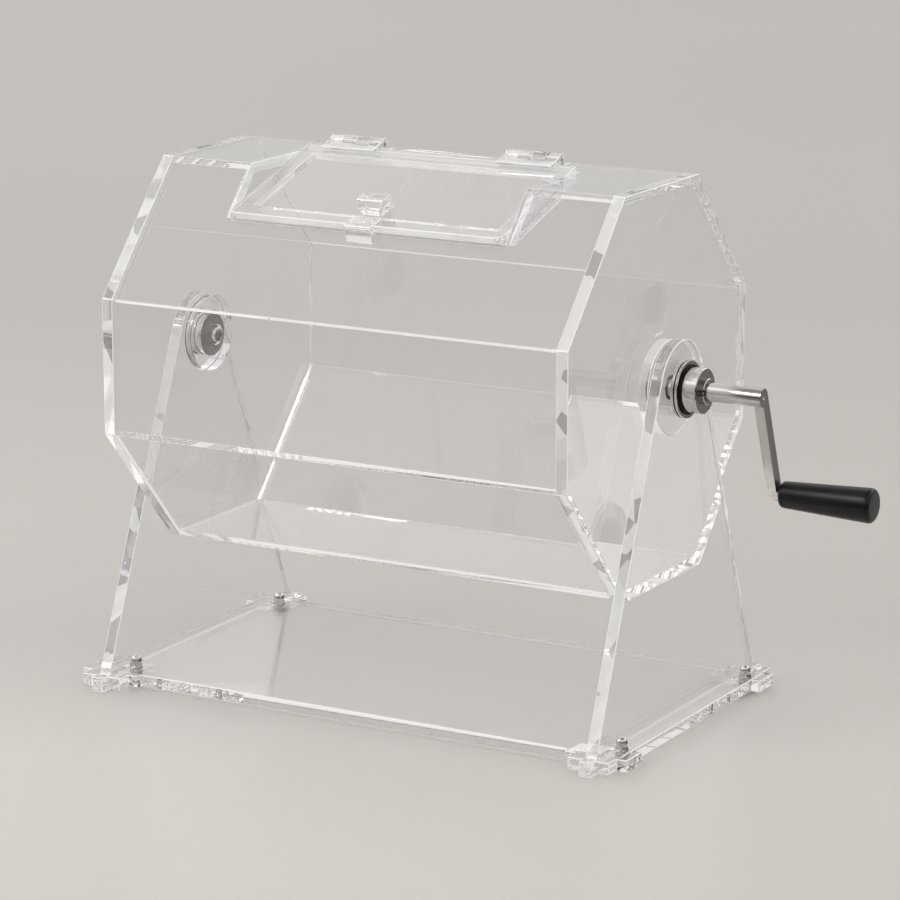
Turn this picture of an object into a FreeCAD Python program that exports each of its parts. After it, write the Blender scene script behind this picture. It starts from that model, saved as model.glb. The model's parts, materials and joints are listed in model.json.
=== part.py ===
import FreeCAD, Part
import math
import os

# Raffle drum: a clear eight-sided drum turning on a clear stand, with a lidded mouth and a steel crank.
# Millimetres, +Z up.  X runs along the drum's axis towards the crank and -Y is the front.
# The origin is on the table, under the middle of the drum.

V = FreeCAD.Vector
TINY = 0.001
os.makedirs("parts", exist_ok=True)

# ---- sheets and clearances ----
SHEET = 10.0                # acrylic of the stand and of the drum's two end plates
WALL = 8.0                  # acrylic of the drum's eight long panels
RUNNING = 0.05              # radial clearance of a shaft that turns in a bore
SLIDING = 0.1               # clearance of a flat piece that slides
END_PLAY = 0.3              # axial clearance between turning faces

# ---- drum ----
DRUM_LENGTH = 424.0         # over both end plates
DRUM_HALF_HEIGHT = 160.0
DRUM_HALF_DEPTH = 156.0
TOP_HALF_FLAT = 64.0        # half the width of the flat top and bottom
SIDE_HALF_FLAT = 56.0       # half the height of the upright front and back
RIGHT_BOSS_R = 38.0         # clear disc cemented to the outside of the crank's end plate
LEFT_BOSS_R = 31.0          # the smaller one at the pivot
BOSS_THICK = 8.0

# ---- stand ----
FOOT_DROP = 3.0             # the frames' toes stand this far below the base plate
AXIS_OVER_BASE = 265.0      # drum axis above the top of the base plate
FRAME_GAP = 10.0            # between an end plate and its side frame
RIGHT_HEAD_R = 39.0         # round head of the crank's side frame
LEFT_HEAD_R = 32.0
FRAME_FOOT_HALF = 142.0     # half the depth of a side frame where it meets the base plate
TOE_REACH = 11.0            # the toe in front of that
TENON_LENGTH = 52.0         # the part of a frame that drops through the base plate, toe included
BASE_OVERHANG = 14.0        # base plate beyond the side frames, along X
BASE_SETBACK = 13.0         # base plate behind the frames' feet, along Y
LAP = 5.0                   # half-lap between the base plate and a foot block

# ---- foot blocks, plus-shaped in plan ----
BLOCK_SETBACK = 21.0        # from the frame's foot to the block's middle
BLOCK_X_ARM = (27.0, 13.0)  # half-length and half-width of the arm along X
BLOCK_Y_ARM = (26.0, 18.0)  # half-length and half-width of the arm along Y

# ---- foot bolts ----
BOLT_R = 3.0
BOLT_HOLE_R = 3.3
BOLT_SETBACK = 30.0         # from the frame's foot to the bolt
BOLT_OFF_FRAME = 6.2        # from the frame's +X face to the bolt
BOLT_HEAD_R = 5.6
BOLT_HEAD_DEPTH = 3.2
WASHER_R = 5.5
WASHER_THICK = 1.2
NUT_ACROSS_FLATS = 10.0
NUT_HEX_HEIGHT = 4.2
HEX_SIDES = 6
NUT_DOME_R = 4.75
NUT_HEIGHT = 10.0
BOLT_IN_NUT = 7.0

# ---- crank side bearing ----
SHAFT_R = 7.5
SHAFT_FLAT = 6.0            # from the axis to each of the two flats that drive the drum
BEARING_BARREL_R = 12.0
RING_R = 23.0
RING_THICK = 2.4
GROOVE_R = 21.2
GROOVE_WIDTH = 1.0
SEAL_R = 20.0
SEAL_THICK = 1.2
COLLAR_R = 18.25
COLLAR_LENGTH = 12.0
NECK_R = 10.5
NECK_LENGTH = 3.5
GRUB_R = 1.8
GRUB_DEPTH = 6.0
CIRCLIP_R = 10.0
CIRCLIP_THICK = 1.2
SHAFT_STUB = 3.5            # shaft beyond the circlip's outer face, inside the drum
ROD_LENGTH = 47.0           # bright rod outside the collar's neck
CENTRE_DOT_R = 1.4

# ---- crank arm and grip ----
ARM_REACH = 90.0            # from the shaft to the grip, along the arm
REST_ANGLE = 20.0           # from straight down towards the back
ARM_WIDTH = 10.2            # across the swing; its trailing side is flush with the shaft's
ARM_THICK = 8.0             # along X
BEND_INNER_R = 1.5
SHAFT_TENON_R = 4.5         # end of the shaft, through the arm's eye
ARM_TO_GRIP = 2.0
SPINDLE_R = 3.9
SPINDLE_LENGTH = 66.0
CLIP_R = 5.6
CLIP_ROOT_R = 2.9
CLIP_THICK = 1.2
CLIP_FROM_END = 5.0
GRIP_LENGTH = 79.0
GRIP_INNER_R = 10.6
GRIP_OUTER_R = 14.2
GRIP_INNER_ROUND = 3.0
GRIP_OUTER_ROUND = 4.0

# ---- left pivot ----
PIVOT_R = 5.0               # shoulder of the pivot screw
PIVOT_THREAD_R = 4.0
PIVOT_THREAD_LENGTH = 8.5
PIVOT_HEAD_R = 6.5
PIVOT_HEAD_HEIGHT = 4.5
PIVOT_CROWN = 0.86          # of the head's radius, a quarter of the way down it
RECESS_WIDTH = 1.6          # arms of the screw's cross recess
RECESS_HALF = 3.4
RECESS_DEPTH = 1.8
INSERT_R = 8.0
BUSH_SPIGOT_R = 8.5
BUSH_FLANGE_THICK = 3.6
BUSH_SET_IN = 3.0           # the spigot stops this far short of the plate's inner face
INNER_WASHER_R = 8.0
INNER_WASHER_THICK = 1.2
STEEL_WASHER_THICK = 3.2
THRUST_R = 17.8
NYLON_R = 17.0

# ---- mouth and lid ----
MOUTH_HALF = 126.0          # half-length of the cut in the drum, along X
MOUTH_BACK = 24.0           # back edge of the cut in the top panel, from the axis
MOUTH_DOWN_SLOPE = 52.0     # cut in the front upper panel, from its ridge
CHEEK_THICK = 6.0
LEDGE_THICK = 6.0
LEDGE_SIDE = 14.0
LEDGE_BACK = 14.0
LEDGE_FRONT = 16.0
LID_THICK = 6.0
LID_SIDE_GAP = 1.0
LID_BACK_GAP = 1.5
LID_FRONT_LIP = 2.4         # lid beyond the front edge of its seat
LID_CORNER_R = 7.0

# ---- hinges ----
HINGE_INSET = 44.0          # from the mouth's end to the middle of each hinge
HINGE_LENGTH = 50.0
HINGE_SEGMENTS = 4
KNUCKLE_GAP = 0.3
KNUCKLE_R = 5.5
HINGE_PIN_R = 1.5
HINGE_BACK = 7.0            # hinge axis behind the mouth's back edge
HINGE_RISE = 7.5            # hinge axis above the top panel
LEAF_THICK = 3.0
LEAF_LENGTH = 14.0
LEAF_CLEAR = 0.7            # a leaf stops this far from the other leaf's knuckles

# ---- latch ----
TONGUE_HALF = 8.8
TONGUE_THICK = 2.8
GROOVE_DEPTH = 3.0
TONGUE_LENGTH = 36.0
TONGUE_BACK = 0.5           # tongue tip behind the lid's front edge when open
LATCH_TRAVEL = 5.5
GUIDE_HALF = 13.0
GUIDE_LENGTH = 9.7
GUIDE_THICK = 2.0
KNOB_BASE_HALF = 8.5
KNOB_TOP_HALF = 12.0
KNOB_HEIGHT = 13.5
KNOB_BASE_LENGTH = 13.0
KNOB_BULGE = 3.5            # how far its front and back lean out half-way up
KEEPER_HALF = 12.0
KEEPER_GAP = 0.7            # from the lid's front edge
KEEPER_CAP = 2.2
KEEPER_WALL = 2.4

# ---- worked out from the driving dimensions ----
base_bottom = FOOT_DROP
base_top = base_bottom + SHEET
lap_level = base_top - LAP
axis_z = base_top + AXIS_OVER_BASE
plate_out = DRUM_LENGTH / 2
plate_in = plate_out - SHEET
frame_in = plate_out + FRAME_GAP
frame_mid = frame_in + SHEET / 2
frame_out = frame_in + SHEET
base_half_length = frame_out + BASE_OVERHANG
base_half_width = FRAME_FOOT_HALF - BASE_SETBACK
toe_end = FRAME_FOOT_HALF + TOE_REACH
tenon_start = toe_end - TENON_LENGTH
block_y = FRAME_FOOT_HALF - BLOCK_SETBACK
bolt_y = FRAME_FOOT_HALF - BOLT_SETBACK


def save(name, shape):
    shape.exportStep("parts/" + name + ".step")


def box(x, y, z):
    """A block from (low, high) pairs."""
    corner = V(x[0], y[0], z[0])
    return Part.makeBox(x[1] - x[0], y[1] - y[0], z[1] - z[0], corner)


def cylinder(radius, start, end):
    along = end - start
    return Part.makeCylinder(radius, along.Length, start, along)


def rod_x(radius, x, y=0.0, z=axis_z):
    """A cylinder along X between the pair x, about the drum's axis unless told otherwise."""
    return cylinder(radius, V(x[0], y, z), V(x[1], y, z))


def prism_x(points, x):
    """A prism along X between the pair x, from (y, z) points."""
    wire = Part.makePolygon([V(x[0], y, z) for y, z in points + points[:1]])
    return Part.Face(wire).extrude(V(x[1] - x[0], 0, 0))


def turned_x(points, y=0.0, z=axis_z):
    """A solid turned about a line along X, from (x, radius) points."""
    wire = Part.makePolygon([V(px, y, z + radius) for px, radius in points + points[:1]])
    return Part.Face(wire).revolve(V(0, y, z), V(1, 0, 0), 360)


def mirrored_x(shape):
    return shape.mirror(V(0, 0, 0), V(1, 0, 0))


def unit(y, z):
    length = math.hypot(y, z)
    return y / length, z / length


def crossing(a, u, b, v):
    """Where the line through a along u meets the line through b along v, all (y, z) pairs."""
    det = u[0] * v[1] - u[1] * v[0]
    t = ((b[0] - a[0]) * v[1] - (b[1] - a[1]) * v[0]) / det
    return a[0] + t * u[0], a[1] + t * u[1]


def inset(points, distance):
    """A clockwise closed outline moved inwards, with its corners kept sharp."""
    edges = []
    for i, a in enumerate(points):
        b = points[(i + 1) % len(points)]
        u = unit(b[0] - a[0], b[1] - a[1])
        edges.append(((a[0] + u[1] * distance, a[1] - u[0] * distance), u))
    return [crossing(*edges[i - 1], *edges[i]) for i in range(len(points))]


# ---- the drum's outline: eight corners, clockwise seen from the crank with +Y to the right ----
quarter = [(TOP_HALF_FLAT, DRUM_HALF_HEIGHT), (DRUM_HALF_DEPTH, SIDE_HALF_FLAT)]
lower = [(y, -z) for y, z in reversed(quarter)]
right_half = quarter + lower
left_half = [(-y, z) for y, z in reversed(right_half)]
outline = [(y, axis_z + z) for y, z in right_half + left_half]
inner_outline = inset(outline, WALL)
PANEL_NAMES = (
    "panel_rear_upper",
    "panel_rear",
    "panel_rear_lower",
    "panel_bottom",
    "panel_front_lower",
    "panel_front",
    "panel_front_upper",
    "panel_top",
)

# ---- the lid's plane: s runs down it from the mouth's back edge, n stands square to it ----
mouth_back = (MOUTH_BACK, axis_z + DRUM_HALF_HEIGHT)
ridge = (-TOP_HALF_FLAT, axis_z + DRUM_HALF_HEIGHT)
slope = unit(TOP_HALF_FLAT - DRUM_HALF_DEPTH, SIDE_HALF_FLAT - DRUM_HALF_HEIGHT)
slope_normal = (slope[1], -slope[0])
mouth_front = (ridge[0] + MOUTH_DOWN_SLOPE * slope[0], ridge[1] + MOUTH_DOWN_SLOPE * slope[1])
down_lid = unit(mouth_front[0] - mouth_back[0], mouth_front[1] - mouth_back[1])
lid_normal = (down_lid[1], -down_lid[0])
seat_length = math.hypot(mouth_front[0] - mouth_back[0], mouth_front[1] - mouth_back[1])
lid_end = seat_length + LID_FRONT_LIP


def on_lid(s, n):
    """The (y, z) of a point s down the lid's plane and n above it."""
    y = mouth_back[0] + s * down_lid[0] + n * lid_normal[0]
    z = mouth_back[1] + s * down_lid[1] + n * lid_normal[1]
    return y, z


def in_lid_plane(y, z):
    """The (s, n) of a point given by its (y, z)."""
    dy = y - mouth_back[0]
    dz = z - mouth_back[1]
    return dy * down_lid[0] + dz * down_lid[1], dy * lid_normal[0] + dz * lid_normal[1]


def lid_block(x, s, n):
    """A block lying along the lid's plane, from (low, high) pairs."""
    corners = [on_lid(s[0], n[0]), on_lid(s[1], n[0]), on_lid(s[1], n[1]), on_lid(s[0], n[1])]
    return prism_x(corners, x)


hinge_y = MOUTH_BACK + HINGE_BACK
hinge_z = axis_z + DRUM_HALF_HEIGHT + HINGE_RISE
hinge_s, hinge_n = in_lid_plane(hinge_y, hinge_z)


# ---- stand ----
def plus_block(side, end, z):
    """The plan of a foot block, between the pair z."""
    cx = side * frame_mid
    cy = end * block_y
    arms = [
        box((cx - hx, cx + hx), (cy - hy, cy + hy), z)
        for hx, hy in (BLOCK_X_ARM, (BLOCK_Y_ARM[1], BLOCK_Y_ARM[0]))
    ]
    return arms[0].fuse(arms[1]).removeSplitter()


def tenon_slot(side, end):
    """The way a frame's tenon drops through, open at the front or back."""
    x = sorted((side * frame_in, side * frame_out))
    y = sorted((end * tenon_start, end * (toe_end + SHEET)))
    return box(x, y, (base_bottom - SHEET, base_top + SHEET))


def bolt_place(side, end):
    return side * frame_mid + SHEET / 2 + BOLT_OFF_FRAME, end * bolt_y


def bolt_hole(side, end):
    x, y = bolt_place(side, end)
    return cylinder(BOLT_HOLE_R, V(x, y, base_bottom - SHEET), V(x, y, base_top + SHEET))


def base_rectangle(z):
    return box((-base_half_length, base_half_length), (-base_half_width, base_half_width), z)


def base_plate():
    plate = base_rectangle((base_bottom, base_top))
    for side, end in CORNERS:
        plate = plate.cut(plus_block(side, end, (base_bottom - SHEET, lap_level)))
        plate = plate.cut(tenon_slot(side, end)).cut(bolt_hole(side, end))
    return plate


def foot_block(side, end):
    block = plus_block(side, end, (base_bottom, base_top))
    block = block.cut(base_rectangle((lap_level, base_top + SHEET)))
    block = block.cut(tenon_slot(side, end)).cut(bolt_hole(side, end))
    return block.cut(bolt_head(side, end))


def side_frame(side, head_r, hole_r):
    """A tapered plate with a round head, standing on two tenons with toes."""
    rise = axis_z - base_top
    reach = math.hypot(FRAME_FOOT_HALF, rise)
    lean = math.atan2(FRAME_FOOT_HALF, rise) - math.asin(head_r / reach)
    tangent_y = head_r * math.cos(lean)
    tangent_z = axis_z + head_r * math.sin(lean)
    x = sorted((side * frame_in, side * frame_out))
    body = [
        (FRAME_FOOT_HALF, base_top),
        (tangent_y, tangent_z),
        (-tangent_y, tangent_z),
        (-FRAME_FOOT_HALF, base_top),
    ]
    frame = prism_x(body, x).fuse(rod_x(head_r, x))
    for end in (-1, 1):
        y = sorted((end * tenon_start, end * toe_end))
        frame = frame.fuse(box(x, y, (0, base_top)))
    return frame.removeSplitter().cut(rod_x(hole_r, x))


def bolt_head(side, end):
    x, y = bolt_place(side, end)
    return Part.makeCone(BOLT_HEAD_R, BOLT_R, BOLT_HEAD_DEPTH, V(x, y, base_bottom))


def foot_bolt(side, end):
    x, y = bolt_place(side, end)
    top = base_top + WASHER_THICK + BOLT_IN_NUT
    shank = cylinder(BOLT_R, V(x, y, base_bottom), V(x, y, top))
    return bolt_head(side, end).fuse(shank).removeSplitter()


def foot_washer(side, end):
    x, y = bolt_place(side, end)
    ends = V(x, y, base_top), V(x, y, base_top + WASHER_THICK)
    return cylinder(WASHER_R, *ends).cut(cylinder(BOLT_HOLE_R, *ends))


def dome_nut(side, end):
    """A hexagon with rounded shoulders and a domed cap, drilled blind."""
    x, y = bolt_place(side, end)
    low = base_top + WASHER_THICK
    corner_r = NUT_ACROSS_FLATS / math.sqrt(3)
    angles = [2 * math.pi * k / HEX_SIDES for k in range(HEX_SIDES + 1)]
    corners = [V(x + corner_r * math.cos(angle), y + corner_r * math.sin(angle), low) for angle in angles]
    hexagon = Part.Face(Part.makePolygon(corners)).extrude(V(0, 0, NUT_HEX_HEIGHT))
    shoulder = corner_r - NUT_ACROSS_FLATS / 2
    keep = Part.makeCone(
        corner_r + NUT_HEX_HEIGHT, NUT_ACROSS_FLATS / 2, NUT_HEX_HEIGHT + shoulder, V(x, y, low - shoulder)
    )
    barrel_top = low + NUT_HEIGHT - NUT_DOME_R
    barrel = cylinder(NUT_DOME_R, V(x, y, low), V(x, y, barrel_top))
    dome = Part.makeSphere(NUT_DOME_R, V(x, y, barrel_top))
    nut = hexagon.common(keep).fuse(barrel).fuse(dome).removeSplitter()
    return nut.cut(cylinder(BOLT_R, V(x, y, low), V(x, y, low + BOLT_IN_NUT)))


CORNERS = [(side, end) for side in (-1, 1) for end in (-1, 1)]
SIDE_NAME = {-1: "left", 1: "right"}
END_NAME = {-1: "front", 1: "rear"}

save("base_plate", base_plate())
for corner in CORNERS:
    save("foot_block_" + END_NAME[corner[1]] + "_" + SIDE_NAME[corner[0]], foot_block(*corner))
save("foot_bolts", Part.makeCompound([foot_bolt(*corner) for corner in CORNERS]))
save("foot_washers", Part.makeCompound([foot_washer(*corner) for corner in CORNERS]))
save("foot_dome_nuts", Part.makeCompound([dome_nut(*corner) for corner in CORNERS]))
save("side_frame_left", side_frame(-1, LEFT_HEAD_R, INSERT_R))
save("side_frame_right", side_frame(1, RIGHT_HEAD_R, BEARING_BARREL_R))

# ---- drum shell ----
def double_flat(x):
    """The shaft's driving end: a round bar with two flats."""
    bar = rod_x(SHAFT_R, x)
    flats = box(x, (-SHAFT_R, SHAFT_R), (axis_z - SHAFT_FLAT, axis_z + SHAFT_FLAT))
    return bar.common(flats)


def long_panel(index):
    """One wall between two ridges, mitred along both."""
    after = (index + 1) % len(outline)
    section = [outline[index], outline[after], inner_outline[after], inner_outline[index]]
    return prism_x(section, (-plate_in, plate_in))


def front_cut():
    """Everything up the slope from the mouth's front edge, cut square to the front upper panel."""
    deep = 2 * DRUM_HALF_HEIGHT
    edge = [
        (mouth_front[0] + k * deep * slope_normal[0], mouth_front[1] + k * deep * slope_normal[1])
        for k in (-1, 1)
    ]
    far = [(y - deep * slope[0], z - deep * slope[1]) for y, z in reversed(edge)]
    return prism_x(edge + far, (-MOUTH_HALF, MOUTH_HALF))


def top_panel():
    cut = box(
        (-MOUTH_HALF, MOUTH_HALF),
        (-DRUM_HALF_DEPTH, MOUTH_BACK),
        (axis_z, axis_z + 2 * DRUM_HALF_HEIGHT),
    )
    return long_panel(PANEL_NAMES.index("panel_top")).cut(cut)


def front_upper_panel():
    return long_panel(PANEL_NAMES.index("panel_front_upper")).cut(front_cut())


for number, name in enumerate(PANEL_NAMES):
    if name == "panel_top":
        save(name, top_panel())
    elif name == "panel_front_upper":
        save(name, front_upper_panel())
    else:
        save(name, long_panel(number))

left_plate = prism_x(outline, (-plate_out, -plate_in))
right_plate = prism_x(outline, (plate_in, plate_out))
boss = (plate_out, plate_out + BOSS_THICK)
save("end_plate_left", left_plate.cut(rod_x(BUSH_SPIGOT_R, (-plate_out, -plate_in))))
save("end_plate_right", right_plate.cut(double_flat((plate_in, plate_out))))
save("boss_disc_left", mirrored_x(rod_x(LEFT_BOSS_R, boss).cut(rod_x(COLLAR_R, boss))))
save("boss_disc_right", rod_x(RIGHT_BOSS_R, boss).cut(double_flat(boss)))


# ---- mouth: cheeks under the cut panels, and ledges that the lid shuts on ----
under_slope = crossing(inner_outline[-2], slope, on_lid(0, -LEDGE_THICK), down_lid)
inner_ridge = inner_outline[-1]
inner_back = crossing(inner_ridge, (1, 0), on_lid(0, -LEDGE_THICK), down_lid)


def cheek(side):
    """A triangle that closes the drum beside the sunken lid."""
    x = sorted((side * MOUTH_HALF, side * (MOUTH_HALF + CHEEK_THICK)))
    return prism_x([under_slope, inner_ridge, inner_back], x)


def ledge(x, s):
    """A strip under the lid between the pair s, trimmed to the mouth's cut edges."""
    strip = lid_block(x, s, (-LEDGE_THICK, 0))
    beyond_back = box(x, (MOUTH_BACK, DRUM_HALF_DEPTH), (axis_z, axis_z + 2 * DRUM_HALF_HEIGHT))
    return strip.cut(beyond_back).common(front_cut())


side_ledge = (LEDGE_BACK, seat_length - LEDGE_FRONT)
save("mouth_cheek_left", cheek(-1))
save("mouth_cheek_right", cheek(1))
save("ledge_rear", ledge((-MOUTH_HALF, MOUTH_HALF), (-WALL, LEDGE_BACK)))
save("ledge_front", ledge((-MOUTH_HALF, MOUTH_HALF), (seat_length - LEDGE_FRONT, seat_length + WALL)))
save("ledge_left", ledge((-MOUTH_HALF, LEDGE_SIDE - MOUTH_HALF), side_ledge))
save("ledge_right", ledge((MOUTH_HALF - LEDGE_SIDE, MOUTH_HALF), side_ledge))


# ---- lid ----
lid_half = MOUTH_HALF - LID_SIDE_GAP
groove_start = lid_end - TONGUE_BACK - TONGUE_LENGTH - SLIDING
tongue_low = LID_THICK - GROOVE_DEPTH + SLIDING
tongue_high = tongue_low + TONGUE_THICK


def lid_panel():
    """A flat plate with two round corners, grooved for the latch's tongue."""
    plate = lid_block((-lid_half, lid_half), (LID_BACK_GAP, lid_end), (0, LID_THICK))
    corners = []
    for edge in plate.Edges:
        a, b = (in_lid_plane(p.Point.y, p.Point.z) for p in edge.Vertexes)
        if a[0] > lid_end - TINY and b[0] > lid_end - TINY and abs(a[1] - b[1]) > TINY:
            corners.append(edge)
    plate = plate.makeFillet(LID_CORNER_R, corners)
    groove = lid_block(
        (-TONGUE_HALF - SLIDING, TONGUE_HALF + SLIDING),
        (groove_start, lid_end + WALL),
        (LID_THICK - GROOVE_DEPTH, LID_THICK + WALL),
    )
    return plate.cut(groove)


save("lid_panel", lid_panel())
guide = (lid_end - GUIDE_LENGTH, lid_end - SLIDING)
save("latch_guide", lid_block((-GUIDE_HALF, GUIDE_HALF), guide, (LID_THICK, LID_THICK + GUIDE_THICK)))


# ---- hinges ----
def segment(hinge_x, number):
    """The ends of one knuckle along X."""
    pitch = HINGE_LENGTH / HINGE_SEGMENTS
    low = hinge_x - HINGE_LENGTH / 2 + number * pitch
    return low + KNUCKLE_GAP / 2, low + pitch - KNUCKLE_GAP / 2


def hinge_rod(radius, x):
    return rod_x(radius, x, hinge_y, hinge_z)


def leaf_ends(hinge_x):
    return segment(hinge_x, 0)[0], segment(hinge_x, HINGE_SEGMENTS - 1)[1]


def drum_leaf(hinge_x):
    """The leaf cemented to the strip behind the mouth, with every other knuckle."""
    ends = leaf_ends(hinge_x)
    foot = axis_z + DRUM_HALF_HEIGHT
    leaf = box(ends, (hinge_y, hinge_y + LEAF_LENGTH), (foot, foot + LEAF_THICK))
    for number in range(0, HINGE_SEGMENTS, 2):
        x = segment(hinge_x, number)
        web = box(x, (hinge_y, hinge_y + KNUCKLE_R), (foot, hinge_z))
        leaf = leaf.fuse(web).fuse(hinge_rod(KNUCKLE_R, x))
    for number in range(1, HINGE_SEGMENTS, 2):
        x = segment(hinge_x, number)
        room = (x[0] - KNUCKLE_GAP, x[1] + KNUCKLE_GAP)
        leaf = leaf.cut(box(room, (hinge_y, hinge_y + KNUCKLE_R + LEAF_CLEAR), (foot, hinge_z)))
    return leaf.cut(hinge_rod(HINGE_PIN_R, ends)).removeSplitter()


def lid_leaf(hinge_x):
    """The leaf cemented to the lid, with the knuckles in between."""
    ends = leaf_ends(hinge_x)
    near = hinge_s + KNUCKLE_R + LEAF_CLEAR
    leaf = lid_block(ends, (near, hinge_s + KNUCKLE_R + LEAF_LENGTH), (LID_THICK, LID_THICK + LEAF_THICK))
    for number in range(1, HINGE_SEGMENTS, 2):
        x = segment(hinge_x, number)
        web = lid_block(x, (hinge_s, near), (hinge_n, LID_THICK + LEAF_THICK))
        leaf = leaf.fuse(web).fuse(hinge_rod(KNUCKLE_R, x))
    return leaf.cut(hinge_rod(HINGE_PIN_R + RUNNING, ends)).removeSplitter()


for side in (-1, 1):
    place = side * (MOUTH_HALF - HINGE_INSET)
    save("hinge_" + SIDE_NAME[side] + "_drum_leaf", drum_leaf(place))
    save("hinge_" + SIDE_NAME[side] + "_lid_leaf", lid_leaf(place))
    save("hinge_" + SIDE_NAME[side] + "_pin", hinge_rod(HINGE_PIN_R, leaf_ends(place)))


# ---- latch ----
def latch_tongue():
    end = lid_end - TONGUE_BACK
    return lid_block((-TONGUE_HALF, TONGUE_HALF), (end - TONGUE_LENGTH, end), (tongue_low, tongue_high))


def latch_knob():
    """A clear block that flares to its top and bulges fore and aft."""
    middle = tongue_high + KNOB_HEIGHT / 2
    top = tongue_high + KNOB_HEIGHT
    guide_above_tongue = LID_THICK + GUIDE_THICK - tongue_high
    lean_at_guide = KNOB_BULGE * guide_above_tongue / (middle - tongue_high)
    front = guide[0] - LATCH_TRAVEL - END_PLAY - lean_at_guide
    back = front - KNOB_BASE_LENGTH
    profile = [
        (back, tongue_high),
        (front, tongue_high),
        (front + KNOB_BULGE, middle),
        (front, top),
        (back, top),
        (back - KNOB_BULGE, middle),
    ]
    reach = (-KNOB_TOP_HALF, KNOB_TOP_HALF)
    bulged = prism_x([on_lid(s, n) for s, n in profile], reach)
    low = on_lid(back - KNOB_BULGE, tongue_high)
    high = on_lid(back - KNOB_BULGE, top)
    flare = Part.makePolygon([
        V(-KNOB_BASE_HALF, *low),
        V(KNOB_BASE_HALF, *low),
        V(KNOB_TOP_HALF, *high),
        V(-KNOB_TOP_HALF, *high),
        V(-KNOB_BASE_HALF, *low),
    ])
    length = KNOB_BASE_LENGTH + 2 * KNOB_BULGE
    along = V(0, length * down_lid[0], length * down_lid[1])
    return bulged.common(Part.Face(flare).extrude(along))


def latch_keeper():
    """A hooked block on the front upper panel that takes the tongue under its cap."""
    near = lid_end + KEEPER_GAP
    slot_end = lid_end - TONGUE_BACK + LATCH_TRAVEL + END_PLAY
    far = slot_end + KEEPER_WALL
    floor = tongue_low - SLIDING
    roof = tongue_high + SLIDING
    hook = [
        (near, floor),
        (slot_end, floor),
        (slot_end, roof),
        (near, roof),
        (near, roof + KEEPER_CAP),
        (far, roof + KEEPER_CAP),
    ]
    on_panel = [
        crossing(on_lid(s, 0), lid_normal, mouth_front, slope)
        for s in (far, near)
    ]
    points = [on_lid(s, n) for s, n in hook] + on_panel
    return prism_x(points, (-KEEPER_HALF, KEEPER_HALF))


save("latch_tongue", latch_tongue())
save("latch_knob", latch_knob())
save("latch_keeper", latch_keeper())


# ---- left pivot: a shoulder screw fixed in the frame, and a flanged bush that turns on it ----
bush_face = plate_out + BUSH_FLANGE_THICK
spigot_end = plate_in + BUSH_SET_IN
washer_end = spigot_end - INNER_WASHER_THICK
head_seat = washer_end - END_PLAY
steel_end = frame_in - STEEL_WASHER_THICK
nylon_end = bush_face + END_PLAY


def left_bush():
    profile = [
        (spigot_end, PIVOT_R + RUNNING),
        (spigot_end, BUSH_SPIGOT_R),
        (plate_out, BUSH_SPIGOT_R),
        (plate_out, COLLAR_R),
        (bush_face, COLLAR_R),
        (bush_face, PIVOT_R + RUNNING),
    ]
    return turned_x(profile)


def pivot_screw():
    """A pan head with a cross recess, a plain shoulder and a thinner thread."""
    head_top = head_seat - PIVOT_HEAD_HEIGHT
    profile = [
        (head_top, 0),
        (head_top, PIVOT_HEAD_R / 2),
        (head_top + PIVOT_HEAD_HEIGHT / 4, PIVOT_HEAD_R * PIVOT_CROWN),
        (head_top + PIVOT_HEAD_HEIGHT / 2, PIVOT_HEAD_R),
        (head_seat, PIVOT_HEAD_R),
        (head_seat, PIVOT_R),
        (frame_in, PIVOT_R),
        (frame_in, PIVOT_THREAD_R),
        (frame_in + PIVOT_THREAD_LENGTH, PIVOT_THREAD_R),
        (frame_in + PIVOT_THREAD_LENGTH, 0),
    ]
    screw = turned_x(profile)
    for wide, tall in ((RECESS_WIDTH / 2, RECESS_HALF), (RECESS_HALF, RECESS_WIDTH / 2)):
        screw = screw.cut(
            box((head_top - TINY, head_top + RECESS_DEPTH), (-wide, wide), (axis_z - tall, axis_z + tall))
        )
    return screw


def ring_x(outer, inner, x):
    return rod_x(outer, x).cut(rod_x(inner, x))


pivot_clear = PIVOT_R + SLIDING
insert = rod_x(INSERT_R, (frame_in, frame_out))
insert = insert.cut(rod_x(PIVOT_THREAD_R, (frame_in, frame_in + PIVOT_THREAD_LENGTH)))
save("left_bush", mirrored_x(left_bush()))
save("left_pivot_screw", mirrored_x(pivot_screw()))
save("left_pivot_insert", mirrored_x(insert))
save("left_inner_washer", mirrored_x(ring_x(INNER_WASHER_R, pivot_clear, (washer_end, spigot_end))))
save("left_steel_washer", mirrored_x(ring_x(THRUST_R, pivot_clear, (steel_end, frame_in))))
save("left_nylon_washer", mirrored_x(ring_x(NYLON_R, pivot_clear, (nylon_end, steel_end))))


# ---- crank side: bearing in the frame, collar and shaft ----
groove_x = frame_out + RING_THICK
cap_x = groove_x + GROOVE_WIDTH
seal_x = cap_x + RING_THICK
collar_x = seal_x + SEAL_THICK + END_PLAY
neck_x = collar_x + COLLAR_LENGTH
rod_x0 = neck_x + NECK_LENGTH
rod_end = rod_x0 + ROD_LENGTH
boss_out = plate_out + BOSS_THICK
clip_x = plate_in - CIRCLIP_THICK


def right_bearing():
    """A flanged sleeve in the frame's head, its rim grooved for a rubber ring."""
    bore = SHAFT_R + RUNNING
    profile = [
        (frame_in, bore),
        (frame_in, BEARING_BARREL_R),
        (frame_out, BEARING_BARREL_R),
        (frame_out, RING_R),
        (groove_x, RING_R),
        (groove_x, GROOVE_R),
        (cap_x, GROOVE_R),
        (cap_x, RING_R),
        (seal_x, RING_R),
        (seal_x, bore),
    ]
    return turned_x(profile)


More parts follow.
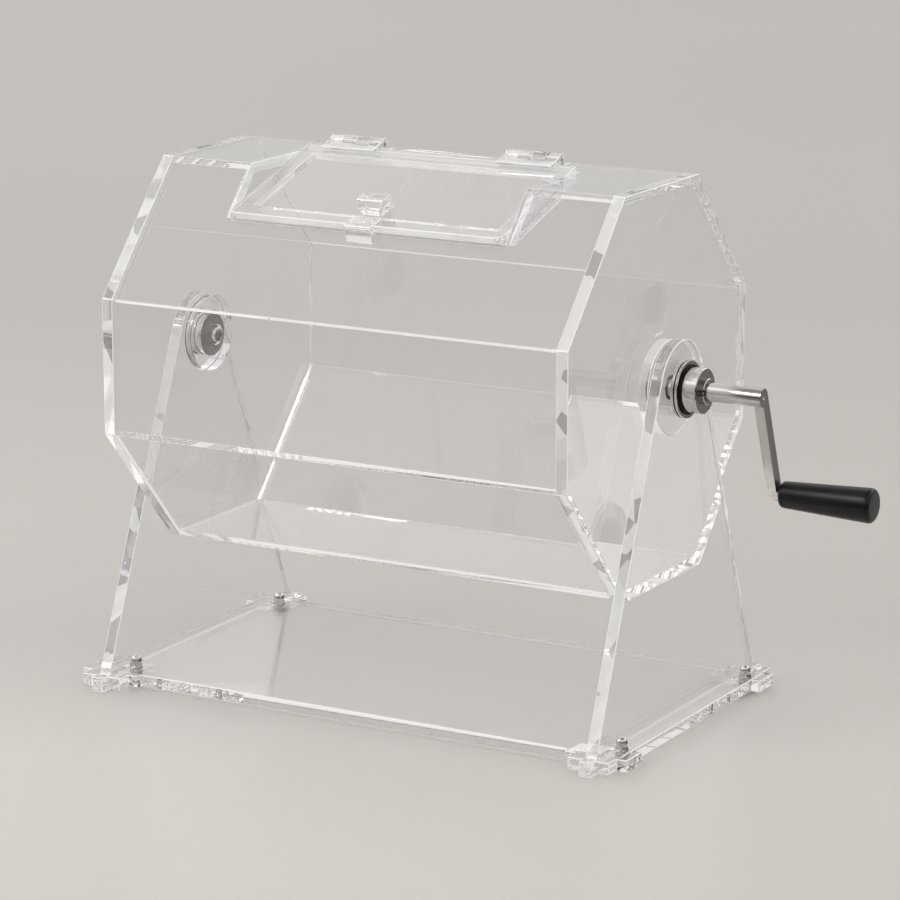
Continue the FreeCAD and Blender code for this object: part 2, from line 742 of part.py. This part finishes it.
def grub_screw(angle):
    """A headless screw from the collar's rim down to the shaft."""
    centre = collar_x + COLLAR_LENGTH / 2
    c = math.cos(math.radians(angle))
    s = math.sin(math.radians(angle))
    inner = V(centre, SHAFT_R * s, axis_z + SHAFT_R * c)
    outer_r = SHAFT_R + GRUB_DEPTH
    outer = V(centre, outer_r * s, axis_z + outer_r * c)
    return cylinder(GRUB_R, inner, outer).cut(rod_x(SHAFT_R, (collar_x, neck_x)))


def grub_hole(angle):
    centre = collar_x + COLLAR_LENGTH / 2
    c = math.cos(math.radians(angle))
    s = math.sin(math.radians(angle))
    outer_r = COLLAR_R + SHAFT_R
    return cylinder(GRUB_R, V(centre, 0, axis_z), V(centre, outer_r * s, axis_z + outer_r * c))


GRUB_ANGLES = (120.0, 210.0)


def shaft_collar():
    chamfer = SLIDING * 5
    profile = [
        (collar_x, SHAFT_R),
        (collar_x, COLLAR_R - chamfer),
        (collar_x + chamfer, COLLAR_R),
        (neck_x - chamfer, COLLAR_R),
        (neck_x, COLLAR_R - chamfer),
        (neck_x, NECK_R),
        (rod_x0 - chamfer, NECK_R),
        (rod_x0, NECK_R - chamfer),
        (rod_x0, SHAFT_R),
    ]
    collar = turned_x(profile)
    for angle in GRUB_ANGLES:
        collar = collar.cut(grub_hole(angle))
    return collar


def crank_shaft():
    """A ground rod, flatted and grooved at its drum end, with a thin tenon at the crank arm."""
    start = clip_x - SHAFT_STUB
    driving = double_flat((start, boss_out))
    groove = rod_x(SHAFT_R, (clip_x, plate_in)).cut(rod_x(SHAFT_FLAT, (clip_x, plate_in)))
    round_part = [
        (boss_out, 0),
        (boss_out, SHAFT_R),
        (rod_end - ARM_THICK, SHAFT_R),
        (rod_end - ARM_THICK, SHAFT_TENON_R),
        (rod_end, SHAFT_TENON_R),
        (rod_end, CENTRE_DOT_R),
        (rod_end - CENTRE_DOT_R, 0),
    ]
    return driving.cut(groove).fuse(turned_x(round_part)).removeSplitter()


save("right_bearing", right_bearing())
save("bearing_rim_ring", ring_x(RING_R - SLIDING * 5, GROOVE_R, (groove_x, cap_x)))
save("bearing_seal", ring_x(SEAL_R, SHAFT_R + SLIDING, (seal_x, seal_x + SEAL_THICK)))
save("shaft_collar", shaft_collar())
save("collar_grub_screws", Part.makeCompound([grub_screw(angle) for angle in GRUB_ANGLES]))
save("crank_shaft", crank_shaft())
save("shaft_circlip", ring_x(CIRCLIP_R, SHAFT_FLAT, (clip_x, plate_in)))


# ---- crank arm and grip: drawn hanging straight down, then turned to the rest angle ----
arm_x = (rod_end - ARM_THICK, rod_end)
arm_y = (SHAFT_R - ARM_WIDTH, SHAFT_R)
spindle_x = rod_end + ARM_TO_GRIP
handle_y = sum(arm_y) / 2
handle_z = axis_z - ARM_REACH


def turned_to_rest(shape):
    """Swing a piece drawn straight below the axis towards the back."""
    swung = shape.copy()
    swung.rotate(V(0, 0, axis_z), V(1, 0, 0), REST_ANGLE)
    return swung


def along_spindle(radius, x):
    return rod_x(radius, x, handle_y, handle_z)


def arm_bar():
    """A flat bar bent square, its top a round eye on the end of the shaft."""
    half = ARM_THICK / 2
    outer_r = ARM_THICK + BEND_INNER_R
    bottom = handle_z - half
    top = handle_z + half
    turn_x = arm_x[0] + outer_r
    turn_z = bottom + outer_r
    diagonal = math.sqrt(0.5)
    start = V(arm_x[0], arm_y[0], axis_z)
    outer_in = V(arm_x[0], arm_y[0], turn_z)
    outer_mid = V(turn_x - outer_r * diagonal, arm_y[0], turn_z - outer_r * diagonal)
    outer_out = V(turn_x, arm_y[0], bottom)
    foot = V(spindle_x, arm_y[0], bottom)
    foot_top = V(foot.x, arm_y[0], top)
    inner_out = V(turn_x, arm_y[0], top)
    inner_mid = V(turn_x - BEND_INNER_R * diagonal, arm_y[0], turn_z - BEND_INNER_R * diagonal)
    inner_in = V(arm_x[1], arm_y[0], turn_z)
    head = V(arm_x[1], arm_y[0], axis_z)
    edges = [
        Part.makeLine(start, outer_in),
        Part.Arc(outer_in, outer_mid, outer_out).toShape(),
        Part.makeLine(outer_out, foot),
        Part.makeLine(foot, foot_top),
        Part.makeLine(foot_top, inner_out),
        Part.Arc(inner_out, inner_mid, inner_in).toShape(),
        Part.makeLine(inner_in, head),
        Part.makeLine(head, start),
    ]
    bar = Part.Face(Part.Wire(edges)).extrude(V(0, ARM_WIDTH, 0))
    eye = rod_x(SHAFT_R, arm_x)
    return bar.fuse(eye).removeSplitter().cut(rod_x(SHAFT_TENON_R, arm_x))


def clip_groove():
    end = spindle_x + SPINDLE_LENGTH - CLIP_FROM_END
    return end - CLIP_THICK, end


def crank_arm():
    """The bar and the round spindle that it runs into, grooved for the grip's clip."""
    spindle = along_spindle(SPINDLE_R, (arm_x[1], spindle_x + SPINDLE_LENGTH))
    groove = along_spindle(SPINDLE_R, clip_groove()).cut(along_spindle(CLIP_ROOT_R, clip_groove()))
    return arm_bar().fuse(spindle.cut(groove)).removeSplitter()


def grip_clip():
    return along_spindle(CLIP_R, clip_groove()).cut(along_spindle(CLIP_ROOT_R, clip_groove()))


def grip():
    """A tapered barrel with rounded rims, bored blind for the spindle."""
    start = spindle_x + END_PLAY
    end = start + GRIP_LENGTH
    bore_end = spindle_x + SPINDLE_LENGTH + END_PLAY
    barrel = turned_x([(start, 0), (start, GRIP_INNER_R), (end, GRIP_OUTER_R), (end, 0)], handle_y, handle_z)
    for x, radius, size in (
        (start, GRIP_INNER_R, GRIP_INNER_ROUND),
        (end, GRIP_OUTER_R, GRIP_OUTER_ROUND),
    ):
        rims = [
            edge
            for edge in barrel.Edges
            if isinstance(edge.Curve, Part.Circle)
            and abs(edge.Curve.Radius - radius) < TINY
            and abs(edge.Curve.Center.x - x) < TINY
        ]
        barrel = barrel.makeFillet(size, rims)
    pocket = (clip_groove()[0] - END_PLAY, clip_groove()[1] + END_PLAY)
    barrel = barrel.cut(along_spindle(SPINDLE_R + RUNNING, (start, bore_end)))
    return barrel.cut(along_spindle(CLIP_R + SLIDING, pocket))


save("crank_arm", turned_to_rest(crank_arm()))
save("grip_clip", turned_to_rest(grip_clip()))
save("grip", turned_to_rest(grip()))
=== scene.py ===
import json
import math

import bpy
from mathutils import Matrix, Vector
from mathutils.bvhtree import BVHTree


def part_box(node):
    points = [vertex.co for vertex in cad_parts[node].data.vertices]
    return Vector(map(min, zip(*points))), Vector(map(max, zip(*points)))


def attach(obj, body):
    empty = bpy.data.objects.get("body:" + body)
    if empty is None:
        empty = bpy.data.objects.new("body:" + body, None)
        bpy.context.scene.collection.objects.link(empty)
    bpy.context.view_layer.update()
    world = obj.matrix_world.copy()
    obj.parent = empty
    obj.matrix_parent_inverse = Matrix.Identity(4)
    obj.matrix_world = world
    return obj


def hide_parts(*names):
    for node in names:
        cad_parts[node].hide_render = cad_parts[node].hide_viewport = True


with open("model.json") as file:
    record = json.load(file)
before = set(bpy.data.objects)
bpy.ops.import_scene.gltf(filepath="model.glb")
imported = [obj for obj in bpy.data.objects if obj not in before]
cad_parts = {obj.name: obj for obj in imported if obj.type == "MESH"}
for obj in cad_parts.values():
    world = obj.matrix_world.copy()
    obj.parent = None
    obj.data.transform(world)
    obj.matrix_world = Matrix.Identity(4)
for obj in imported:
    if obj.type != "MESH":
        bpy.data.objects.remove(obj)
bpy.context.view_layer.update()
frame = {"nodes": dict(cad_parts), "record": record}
nodes = frame["nodes"]
body_names = {}
for body, members in frame["record"]["behaviour"]["bodies"].items():
    for member in members:
        body_names[member] = body
slot_names = {row["node"]: row["material_slot"] for row in frame["record"]["subparts"]}

scene = bpy.context.scene
scene.view_settings.view_transform = "Standard"
scene.cycles.max_bounces = 72
scene.cycles.glossy_bounces = 64
scene.cycles.transmission_bounces = 64
scene.cycles.transparent_max_bounces = 24

MM = 0.001
WHITE = (1.0, 1.0, 1.0, 1)

# Acrylic: how it bends light, how much of a lamp's light each polished face lets on, and the painted light
# and reflection patches on its edges.
ACRYLIC_IOR = 1.49
LAMP_THROUGH = (0.912, 0.908, 0.91, 1)
REFLECTION_PATCHES_PER_METRE = 55.0

# The material slots of a sheet, and of a turned piece, whose first slot is its own steel or plastic.
CLEAR_FACE = 0
BRIGHT_FACE = 1
# The arris slot holds an opaque white painted highlight.
ARRIS_PAINTED_HIGHLIGHT = 2
CEMENTED_FACE = 3
END_FACE = 1
KEEP_SLOT = -1

# Finishing: what is merged, flattened, eased and left open at a joint.
MERGE = 0.002 * MM
FLAT = math.radians(0.4)
SHARP = math.radians(31)
GLUE_LINE = 0.02 * MM
SHEET_EASE = 0.65 * MM
METAL_EASE = 0.25 * MM
CEMENTED_SHARE = 0.25

# Telling faces apart: how square two faces are, the least area of a bright edge, how far off a face to feel.
SQUARE = 0.9
BRIGHT_EDGE = 400 * MM * MM
HINGE_EDGE = 5 * MM * MM
CORNER_INSET = 0.05
REACH_OUT = 0.15 * MM
BORE_REACH = 1.5 * MM
NEAR = 2.0 * MM

# Paper: painted light and shade by distance and by side, and a painted dark band before it that only metal
# reflects.
PAPER_TURN = math.radians(29.56)
PAPER_SIZE = 60.0
PAPER_REACH = (-0.6, 4.5)
PAPER_PAINTED_FALLOFF = ((0.0, 0.578), (0.08, 0.612), (0.15, 0.53), (0.24, 0.55), (0.44, 0.526), (0.69, 0.582), (1.0, 0.62))
PAPER_TINT = (1.0, 0.97, 0.926)
SIDE_REACH = (-0.5, 0.6)
PAPER_RIGHT_PAINTED_SHADE = (0.945, 0.94, 0.935, 1)
DARK_BAND_REACH = (-1.3, -0.5)
DARK_BAND_PAINTED_REFLECTION = ((0.0, 0.8), (0.2, 0.65), (0.36, 0.02), (0.82, 0.02), (0.97, 1.0))

# Sky: greys by the height of a ray, for the light and for what sheets and metal mirror or let through.
SKY_TINT = (1.0, 0.985, 0.965, 1)
BACKDROP = (0.578, 0.558, 0.527, 1)
LIGHT_SKY = ((0.0, 0.88), (0.5, 0.94))
SHEET_SKY = ((0.0, 0.03), (0.26, 0.09), (0.4, 0.45), (0.55, 1.0))
METAL_SKY = ((0.0, 0.015), (0.2, 0.03), (0.36, 0.85), (0.7, 1.0), (0.92, 0.32), (1.0, 0.26))
CLEAR_SKY = ((0.0, 0.55), (0.2, 0.8), (0.5, 1.0))


# ---- materials ----
def new_material(name):
    """A material with an empty node tree, its tree and its output."""
    material = bpy.data.materials.new(name)
    material.use_nodes = True
    tree = material.node_tree
    tree.nodes.clear()
    output = tree.nodes.new("ShaderNodeOutputMaterial")
    return material, tree, output


def add(tree, kind, **settings):
    """A node whose capitalised settings are its sockets' values and the others its own properties."""
    node = tree.nodes.new(kind)
    for key, value in settings.items():
        if key[0].isupper():
            node.inputs[key.replace("_", " ")].default_value = value
        else:
            setattr(node, key, value)
    return node


def link(tree, source, target):
    """Join a node's output to another's input."""
    tree.links.new(source, target)


def noise_over(tree, scale, stretch=(1.0, 1.0, 1.0), detail=3.0):
    """Noise on Object coordinates, stretched along an axis whose factor is under 1."""
    place = tree.nodes.new("ShaderNodeTexCoord")
    mapping = add(tree, "ShaderNodeMapping", Scale=stretch)
    noise = add(tree, "ShaderNodeTexNoise", Scale=scale, Detail=detail)
    link(tree, place.outputs["Object"], mapping.inputs["Vector"])
    link(tree, mapping.outputs["Vector"], noise.inputs["Vector"])
    return noise.outputs["Fac"]


def varied(tree, value, low, high, start=0.3, end=0.7):
    """A value from start to end mapped to the range low to high."""
    span = add(tree, "ShaderNodeMapRange", From_Min=start, From_Max=end, To_Min=low, To_Max=high)
    link(tree, value, span.inputs["Value"])
    return span.outputs["Result"]


def mixed_colors(tree, share, first, second, blend="MIX"):
    """Two colours mixed by a 0-1 share. Each is a fixed colour or another node's output."""
    mix = add(tree, "ShaderNodeMix", data_type="RGBA", blend_type=blend)
    share_socket, first_socket, second_socket = mix.inputs[0], mix.inputs[6], mix.inputs[7]
    link(tree, share, share_socket)
    for socket, color in ((first_socket, first), (second_socket, second)):
        if isinstance(color, tuple):
            socket.default_value = color
        else:
            link(tree, color, socket)
    return mix.outputs[2]


def mixed_shaders(tree, share, first, second):
    """Two shaders or backgrounds mixed by a 0-1 share."""
    mix = tree.nodes.new("ShaderNodeMixShader")
    link(tree, share, mix.inputs["Fac"])
    link(tree, first, mix.inputs[1])
    link(tree, second, mix.inputs[2])
    return mix.outputs[0]


def ramp_of(tree, value, stops, tint=(1.0, 1.0, 1.0)):
    """A tinted grey that follows a 0-1 value by stops of place and grey."""
    ramp = tree.nodes.new("ShaderNodeValToRGB")
    marks = ramp.color_ramp.elements
    while len(marks) < len(stops):
        marks.new(0.5)
    for mark, (place, grey) in zip(marks, stops):
        mark.position = place
        mark.color = (grey * tint[0], grey * tint[1], grey * tint[2], 1)
    link(tree, value, ramp.inputs["Fac"])
    return ramp.outputs["Color"]


def roughened(tree, body, height, depth):
    """Bump from a height on the shader's normal."""
    bump = add(tree, "ShaderNodeBump", Strength=depth, Distance=0.2 * MM)
    link(tree, height, bump.inputs["Height"])
    link(tree, bump.outputs["Normal"], body.inputs["Normal"])


def lamps_through(tree, body, output):
    """Glass that lets lamps through to what is behind it, at a sheet's own small loss."""
    path = tree.nodes.new("ShaderNodeLightPath")
    through = add(tree, "ShaderNodeBsdfTransparent", Color=LAMP_THROUGH)
    surface = mixed_shaders(tree, path.outputs["Is Shadow Ray"], body.outputs[0], through.outputs[0])
    link(tree, surface, output.inputs["Surface"])


def by_metal(tree):
    """1 for a ray that metal reflects, 0 for one that a sheet reflects or lets through."""
    path = tree.nodes.new("ShaderNodeLightPath")
    blurred = add(tree, "ShaderNodeMath", operation="SUBTRACT", use_clamp=True)
    link(tree, path.outputs["Is Glossy Ray"], blurred.inputs[0])
    link(tree, path.outputs["Is Singular Ray"], blurred.inputs[1])
    reflected = add(tree, "ShaderNodeMath", operation="SUBTRACT", use_clamp=True)
    link(tree, blurred.outputs[0], reflected.inputs[0])
    link(tree, path.outputs["Is Transmission Ray"], reflected.inputs[1])
    return reflected.outputs[0]


def acrylic_sheet():
    """The polished face of cast acrylic, its tint hardly uneven."""
    material, tree, output = new_material("clear_acrylic")
    body = add(tree, "ShaderNodeBsdfPrincipled", IOR=ACRYLIC_IOR, Roughness=0.0)
    body.inputs["Transmission Weight"].default_value = 1.0
    cloud = varied(tree, noise_over(tree, scale=6.0), low=0.0, high=1.0)
    tint = mixed_colors(tree, cloud, (0.972, 0.966, 0.97, 1), (0.965, 0.96, 0.964, 1))
    link(tree, tint, body.inputs["Base Color"])
    lamps_through(tree, body, output)
    return material


def acrylic_edge(name, clearness, darkest):
    """A sheet's bright edge as painted light: a white base stands in for light the sheet carries, and crisp
    patches from white down to darkest are painted reflections.
    """
    material, tree, output = new_material(name)
    body = add(tree, "ShaderNodeBsdfPrincipled", IOR=ACRYLIC_IOR, Roughness=0.03)
    body.inputs["Transmission Weight"].default_value = clearness
    place = tree.nodes.new("ShaderNodeTexCoord")
    painted_reflection_patches = add(tree, "ShaderNodeTexVoronoi", Scale=REFLECTION_PATCHES_PER_METRE)
    link(tree, place.outputs["Object"], painted_reflection_patches.inputs["Vector"])
    grey = tree.nodes.new("ShaderNodeSeparateColor")
    link(tree, painted_reflection_patches.outputs["Color"], grey.inputs[0])
    share = varied(tree, grey.outputs[0], low=0.0, high=1.0, start=0.62, end=0.95)
    shade = mixed_colors(tree, share, WHITE, (darkest, darkest, darkest + 0.01, 1))
    link(tree, shade, body.inputs["Base Color"])
    lamps_through(tree, body, output)
    return material


def acrylic_arris():
    """The narrow arris along a sheet's edge, opaque white as a painted highlight line, its white varied a
    little by chatter.
    """
    material, tree, output = new_material("acrylic_arris_painted_highlight")
    body = add(tree, "ShaderNodeBsdfPrincipled", IOR=ACRYLIC_IOR, Roughness=0.2)
    chatter = varied(tree, noise_over(tree, scale=250.0), low=0.0, high=1.0)
    link(tree, mixed_colors(tree, chatter, WHITE, (0.93, 0.93, 0.94, 1)), body.inputs["Base Color"])
    lamps_through(tree, body, output)
    return material


def cemented_joint():
    """A face cemented to the next sheet, where nothing shows but a few specks of trapped air."""
    material, tree, output = new_material("cemented_joint")
    clear = add(tree, "ShaderNodeBsdfTransparent", Color=WHITE)
    speck = add(tree, "ShaderNodeBsdfPrincipled", Base_Color=(0.9, 0.9, 0.9, 1), Roughness=0.3)
    bubbles = varied(tree, noise_over(tree, scale=420.0), low=0.0, high=0.04, start=0.72, end=0.85)
    surface = mixed_shaders(tree, bubbles, clear.outputs[0], speck.outputs[0])
    link(tree, surface, output.inputs["Surface"])
    return material


def steel(name, color, roughness, grain_scale, grain_depth):
    """Turned or ground steel: its grain runs round the X axis, the way it was turned."""
    material, tree, output = new_material(name)
    body = add(tree, "ShaderNodeBsdfPrincipled", Base_Color=color, Metallic=1.0)
    grain = noise_over(tree, grain_scale, stretch=(1.0, 0.06, 0.06))
    link(tree, varied(tree, grain, low=roughness * 0.7, high=roughness * 1.4), body.inputs["Roughness"])
    roughened(tree, body, grain, grain_depth)
    link(tree, body.outputs[0], output.inputs["Surface"])
    return material


def plastic(name, color, low, high, scale, depth):
    """Moulded plastic or rubber with a fine uneven surface, its roughness from low to high."""
    material, tree, output = new_material(name)
    body = add(tree, "ShaderNodeBsdfPrincipled", Base_Color=color)
    body.inputs["Specular IOR Level"].default_value = 0.32
    unevenness = noise_over(tree, scale, detail=4.0)
    link(tree, varied(tree, unevenness, low, high), body.inputs["Roughness"])
    roughened(tree, body, unevenness, depth)
    link(tree, body.outputs[0], output.inputs["Surface"])
    return material


SHEET = acrylic_sheet()
# Edges and mitres painted white with grey patches: painted light and painted reflections from inside the
# sheet.
EDGE = acrylic_edge("polished_edge_painted_light", clearness=0.6, darkest=0.45)
MITRE = acrylic_edge("cemented_mitre_painted_light", clearness=0.3, darkest=0.9)
# Arris: opaque white, a painted highlight along every eased edge.
ARRIS = acrylic_arris()
CEMENTED = cemented_joint()
# End faces: rougher as faced, and darker in base colour as painted shade for the dim reflection they show.
END_FACE_PAINTED_SHADE = steel("stainless_end_painted_shade", (0.18, 0.176, 0.172, 1), 0.26, grain_scale=1400.0, grain_depth=0.1)
POLISHED = steel("polished_stainless", (0.64, 0.628, 0.615, 1), 0.06, grain_scale=900.0, grain_depth=0.03)
TURNED = steel("turned_stainless", (0.58, 0.568, 0.555, 1), 0.09, grain_scale=1400.0, grain_depth=0.1)
BLACKED = steel("black_oxide_steel", (0.04, 0.04, 0.04, 1), 0.35, grain_scale=900.0, grain_depth=0.05)
RUBBER = plastic("black_rubber", (0.004, 0.004, 0.004, 1), low=0.5, high=0.65, scale=700.0, depth=0.1)
NYLON = plastic("natural_nylon", (0.9, 0.9, 0.88, 1), low=0.4, high=0.5, scale=500.0, depth=0.1)
GRIP = plastic("satin_black_grip", (0.004, 0.004, 0.0045, 1), low=0.28, high=0.34, scale=2500.0, depth=0.01)
MATERIALS = {
    "clear_acrylic": SHEET,
    "polished_steel": POLISHED,
    "brushed_steel": TURNED,
    "black_steel": BLACKED,
    "black_rubber": RUBBER,
    "white_nylon": NYLON,
    "black_grip": GRIP,
}


# ---- pieces ----
def only(piece):
    """Select one object and make it active."""
    bpy.ops.object.select_all(action="DESELECT")
    piece.select_set(True)
    bpy.context.view_layer.objects.active = piece


def finished_copy(node, *materials):
    """A new piece that stands for a CAD node, its doubles merged and its flat faces made whole."""
    cad = nodes[node]
    piece = bpy.data.objects.new(node + "_finished", cad.data.copy())
    piece.data.materials.clear()
    for material in materials:
        piece.data.materials.append(material)
    scene.collection.objects.link(piece)
    only(piece)
    bpy.ops.mesh.customdata_custom_splitnormals_clear()
    bpy.ops.object.mode_set(mode="EDIT")
    bpy.ops.mesh.select_all(action="SELECT")
    bpy.ops.mesh.remove_doubles(threshold=MERGE)
    bpy.ops.mesh.dissolve_limited(angle_limit=FLAT)
    bpy.ops.object.mode_set(mode="OBJECT")
    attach(piece, body_names[node])
    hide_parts(node)
    return piece


def draw_in(piece, gap):
    """Move every face in by about gap, so that a cemented joint keeps a line between its two sheets."""
    only(piece)
    bpy.ops.object.mode_set(mode="EDIT")
    bpy.ops.mesh.select_all(action="SELECT")
    bpy.ops.transform.shrink_fatten(value=-gap)
    bpy.ops.object.mode_set(mode="OBJECT")


def inside(point, others):
    """True if a point just off a face lies inside one of these CAD nodes."""
    for other in others:
        place, normal, index, away = surfaces[other].find_nearest(point)
        if away < NEAR and (point - place).dot(normal) < 0:
            return True
    return False


def touching(node):
    """The nodes whose boxes touch this one's."""
    low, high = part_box(node)
    found = []
    for other in surfaces:
        its_low, its_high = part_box(other)
        near = all(high[axis] + MM > its_low[axis] and its_high[axis] + MM > low[axis] for axis in range(3))
        if near and other != node:
            found.append(other)
    return found


def mark_faces(piece, node):
    """Give a sheet's faces their slots: cemented, or a filled hole's wall; bright with painted light and
    reflections, on wide edges; clear.
    """
    near = touching(node)
    fixed = [other for other in near if body_names[other] == body_names[node]]
    least = HINGE_EDGE if "hinge" in node else BRIGHT_EDGE
    broad = max(piece.data.polygons, key=lambda face: face.area).normal.copy()
    for face in piece.data.polygons:
        narrow = abs(face.normal.dot(broad)) < SQUARE
        if narrow and face.area < BRIGHT_EDGE:
            filled = inside(face.center + face.normal * BORE_REACH, near)
        else:
            vertices = [piece.data.vertices[index].co for index in face.vertices]
            corners = [vertex.lerp(face.center, CORNER_INSET) for vertex in vertices]
            filled = all(inside(corner + face.normal * REACH_OUT, fixed) for corner in corners)
        if filled:
            face.material_index = CEMENTED_FACE
        elif narrow and face.area > least and node != "base_plate":
            face.material_index = BRIGHT_FACE
        else:
            face.material_index = CLEAR_FACE


def weigh_edges(piece):
    """Set how far each sharp edge is eased: in full where it is free, less beside a cemented face."""
    weights = piece.data.attributes.new("bevel_weight_edge", "FLOAT", "EDGE")
    beside = {edge.key: [] for edge in piece.data.edges}
    for face in piece.data.polygons:
        for key in face.edge_keys:
            beside[key].append(face)
    for edge in piece.data.edges:
        first, second = beside[edge.key]
        if first.normal.angle(second.normal) > SHARP:
            cemented = CEMENTED_FACE in (first.material_index, second.material_index)
            weights.data[edge.index].value = CEMENTED_SHARE if cemented else 1.0


def ease(piece, width, arris_slot=KEEP_SLOT):
    """Round the sharp edges over, as arrises where a slot is given, and smooth what is curved."""
    weigh_edges(piece)
    only(piece)
    bpy.ops.object.shade_smooth_by_angle(angle=SHARP)
    bevel = piece.modifiers.new("eased_edge", "BEVEL")
    bevel.width = width
    bevel.segments = 2
    bevel.limit_method = "WEIGHT"
    bevel.material = arris_slot
    bevel.use_clamp_overlap = arris_slot == KEEP_SLOT
    bevel.harden_normals = True
    bpy.ops.object.modifier_apply(modifier=bevel.name)


def sheet_piece(node):
    """A cut acrylic sheet or block: glued faces a hair apart, polished edges and arrises painted white as
    highlights.
    """
    edge = MITRE if "panel" in node else EDGE
    piece = finished_copy(node, SHEET, edge, ARRIS, CEMENTED)
    draw_in(piece, GLUE_LINE)
    mark_faces(piece, node)
    ease(piece, SHEET_EASE, ARRIS_PAINTED_HIGHLIGHT)


def turned_piece(node):
    """A metal, rubber or moulded piece with its edges broken; a steel piece's end faces are rougher as
    faced, and darker as painted shade.
    """
    slot = slot_names[node]
    piece = finished_copy(node, MATERIALS[slot], END_FACE_PAINTED_SHADE)
    for face in piece.data.polygons:
        if "steel" in slot and abs(face.normal.x) > SQUARE:
            face.material_index = END_FACE
    ease(piece, METAL_EASE)


surfaces = {}
for node, cad in nodes.items():
    points = [vertex.co for vertex in cad.data.vertices]
    surfaces[node] = BVHTree.FromPolygons(points, [face.vertices for face in cad.data.polygons])
for node, cad in nodes.items():
    cad.data.materials.clear()
    cad.data.materials.append(MATERIALS[slot_names[node]])
for node, slot in slot_names.items():
    if slot == "clear_acrylic":
        sheet_piece(node)
    else:
        turned_piece(node)


# ---- floor, light and camera ----
def paper_floor():
    """Satin warm grey paper with painted light and shade by distance and side, and a painted dark band
    before it that only metal reflects.
    """
    material, tree, output = new_material("paper_sweep")
    body = add(tree, "ShaderNodeBsdfPrincipled", Roughness=0.34)
    body.inputs["Specular IOR Level"].default_value = 0.3
    place = tree.nodes.new("ShaderNodeTexCoord")
    turned = add(tree, "ShaderNodeMapping", Rotation=(0, 0, -PAPER_TURN))
    link(tree, place.outputs["Object"], turned.inputs["Vector"])
    parts = tree.nodes.new("ShaderNodeSeparateXYZ")
    link(tree, turned.outputs["Vector"], parts.inputs[0])
    # Painted light and shade: the paper's grey is set by distance and by side.
    painted_falloff = ramp_of(tree, varied(tree, parts.outputs["Y"], 0.0, 1.0, *PAPER_REACH), PAPER_PAINTED_FALLOFF, PAPER_TINT)
    right = varied(tree, parts.outputs["X"], 0.0, 1.0, *SIDE_REACH)
    paper = mixed_colors(tree, right, painted_falloff, PAPER_RIGHT_PAINTED_SHADE, blend="MULTIPLY")
    # Painted reflection: a dark band in the floor that only metal's reflections see.
    gap = ramp_of(tree, varied(tree, parts.outputs["Y"], 0.0, 1.0, *DARK_BAND_REACH), DARK_BAND_PAINTED_REFLECTION)
    shade = mixed_colors(tree, by_metal(tree), paper, gap, blend="MULTIPLY")
    link(tree, shade, body.inputs["Base Color"])
    link(tree, body.outputs[0], output.inputs["Surface"])
    return material


def softbox(name, place, size, watts):
    """A rectangular lamp at a place, turned towards the drum."""
    lamp = bpy.data.lights.new(name, "AREA")
    lamp.shape = "RECTANGLE"
    lamp.size, lamp.size_y = size
    lamp.energy = watts
    lamp.color = (1.0, 0.99, 0.97)
    box = bpy.data.objects.new(name, lamp)
    scene.collection.objects.link(box)
    box.location = place
    drum = Vector((0, 0, 0.25))
    box.rotation_euler = (drum - Vector(place)).to_track_quat("-Z", "Y").to_euler()


def sky(tree, direction, ceiling, backdrop):
    """A grey by the ray's height along ceiling's stops, and at least backdrop behind the object."""
    above = ramp_of(tree, direction.outputs["Z"], ceiling)
    behind = varied(tree, direction.outputs["Y"], low=0.0, high=backdrop, start=0.0, end=0.5)
    brighter = add(tree, "ShaderNodeMath", operation="MAXIMUM")
    link(tree, above, brighter.inputs[0])
    link(tree, behind, brighter.inputs[1])
    background = add(tree, "ShaderNodeBackground", Color=SKY_TINT)
    link(tree, brighter.outputs[0], background.inputs["Strength"])
    return background.outputs[0]


def studio_world():
    """A plain backdrop where it is seen, even light, and skies of their own for gloss, metal and glass."""
    world = bpy.data.worlds.new("studio")
    scene.world = world
    world.use_nodes = True
    tree = world.node_tree
    tree.nodes.clear()
    output = tree.nodes.new("ShaderNodeOutputWorld")
    place = tree.nodes.new("ShaderNodeTexCoord")
    direction = tree.nodes.new("ShaderNodeSeparateXYZ")
    link(tree, place.outputs["Generated"], direction.inputs[0])
    seen = add(tree, "ShaderNodeBackground", Color=BACKDROP, Strength=1.0)
    light = sky(tree, direction, LIGHT_SKY, backdrop=0.9)
    in_sheets = sky(tree, direction, SHEET_SKY, backdrop=0.55)
    in_metal = sky(tree, direction, METAL_SKY, backdrop=0.4)
    through_sheets = sky(tree, direction, CLEAR_SKY, backdrop=0.9)
    path = tree.nodes.new("ShaderNodeLightPath")
    shown = mixed_shaders(tree, path.outputs["Is Camera Ray"], light, seen.outputs[0])
    shown = mixed_shaders(tree, path.outputs["Is Glossy Ray"], shown, in_sheets)
    shown = mixed_shaders(tree, by_metal(tree), shown, in_metal)
    shown = mixed_shaders(tree, path.outputs["Is Transmission Ray"], shown, through_sheets)
    link(tree, shown, output.inputs["Surface"])


bpy.ops.mesh.primitive_plane_add(size=PAPER_SIZE, location=(0, 0, 0))
floor = bpy.context.object
floor.name = "floor"
floor.data.materials.append(paper_floor())

softbox("softbox_top", place=(-0.98, -1.38, 1.85), size=(0.9, 0.7), watts=11.0)
softbox("softbox_left", place=(-2.4, -0.9, 1.3), size=(1.2, 1.8), watts=5.0)
softbox("softbox_back", place=(1.2, 2.3, 1.5), size=(2.6, 1.2), watts=8.0)
studio_world()

camera_data = bpy.data.cameras.new("camera")
camera_data.sensor_width = 36.0
camera_data.lens = 149.236
camera_data.clip_end = 200.0
camera = bpy.data.objects.new("camera", camera_data)
scene.collection.objects.link(camera)
camera.location = (1.4853, -2.5812, 0.9088)
look = Vector((0.0204, 0.002, 0.2033)) - camera.location
camera.rotation_euler = look.to_track_quat("-Z", "Y").to_euler()
scene.camera = camera
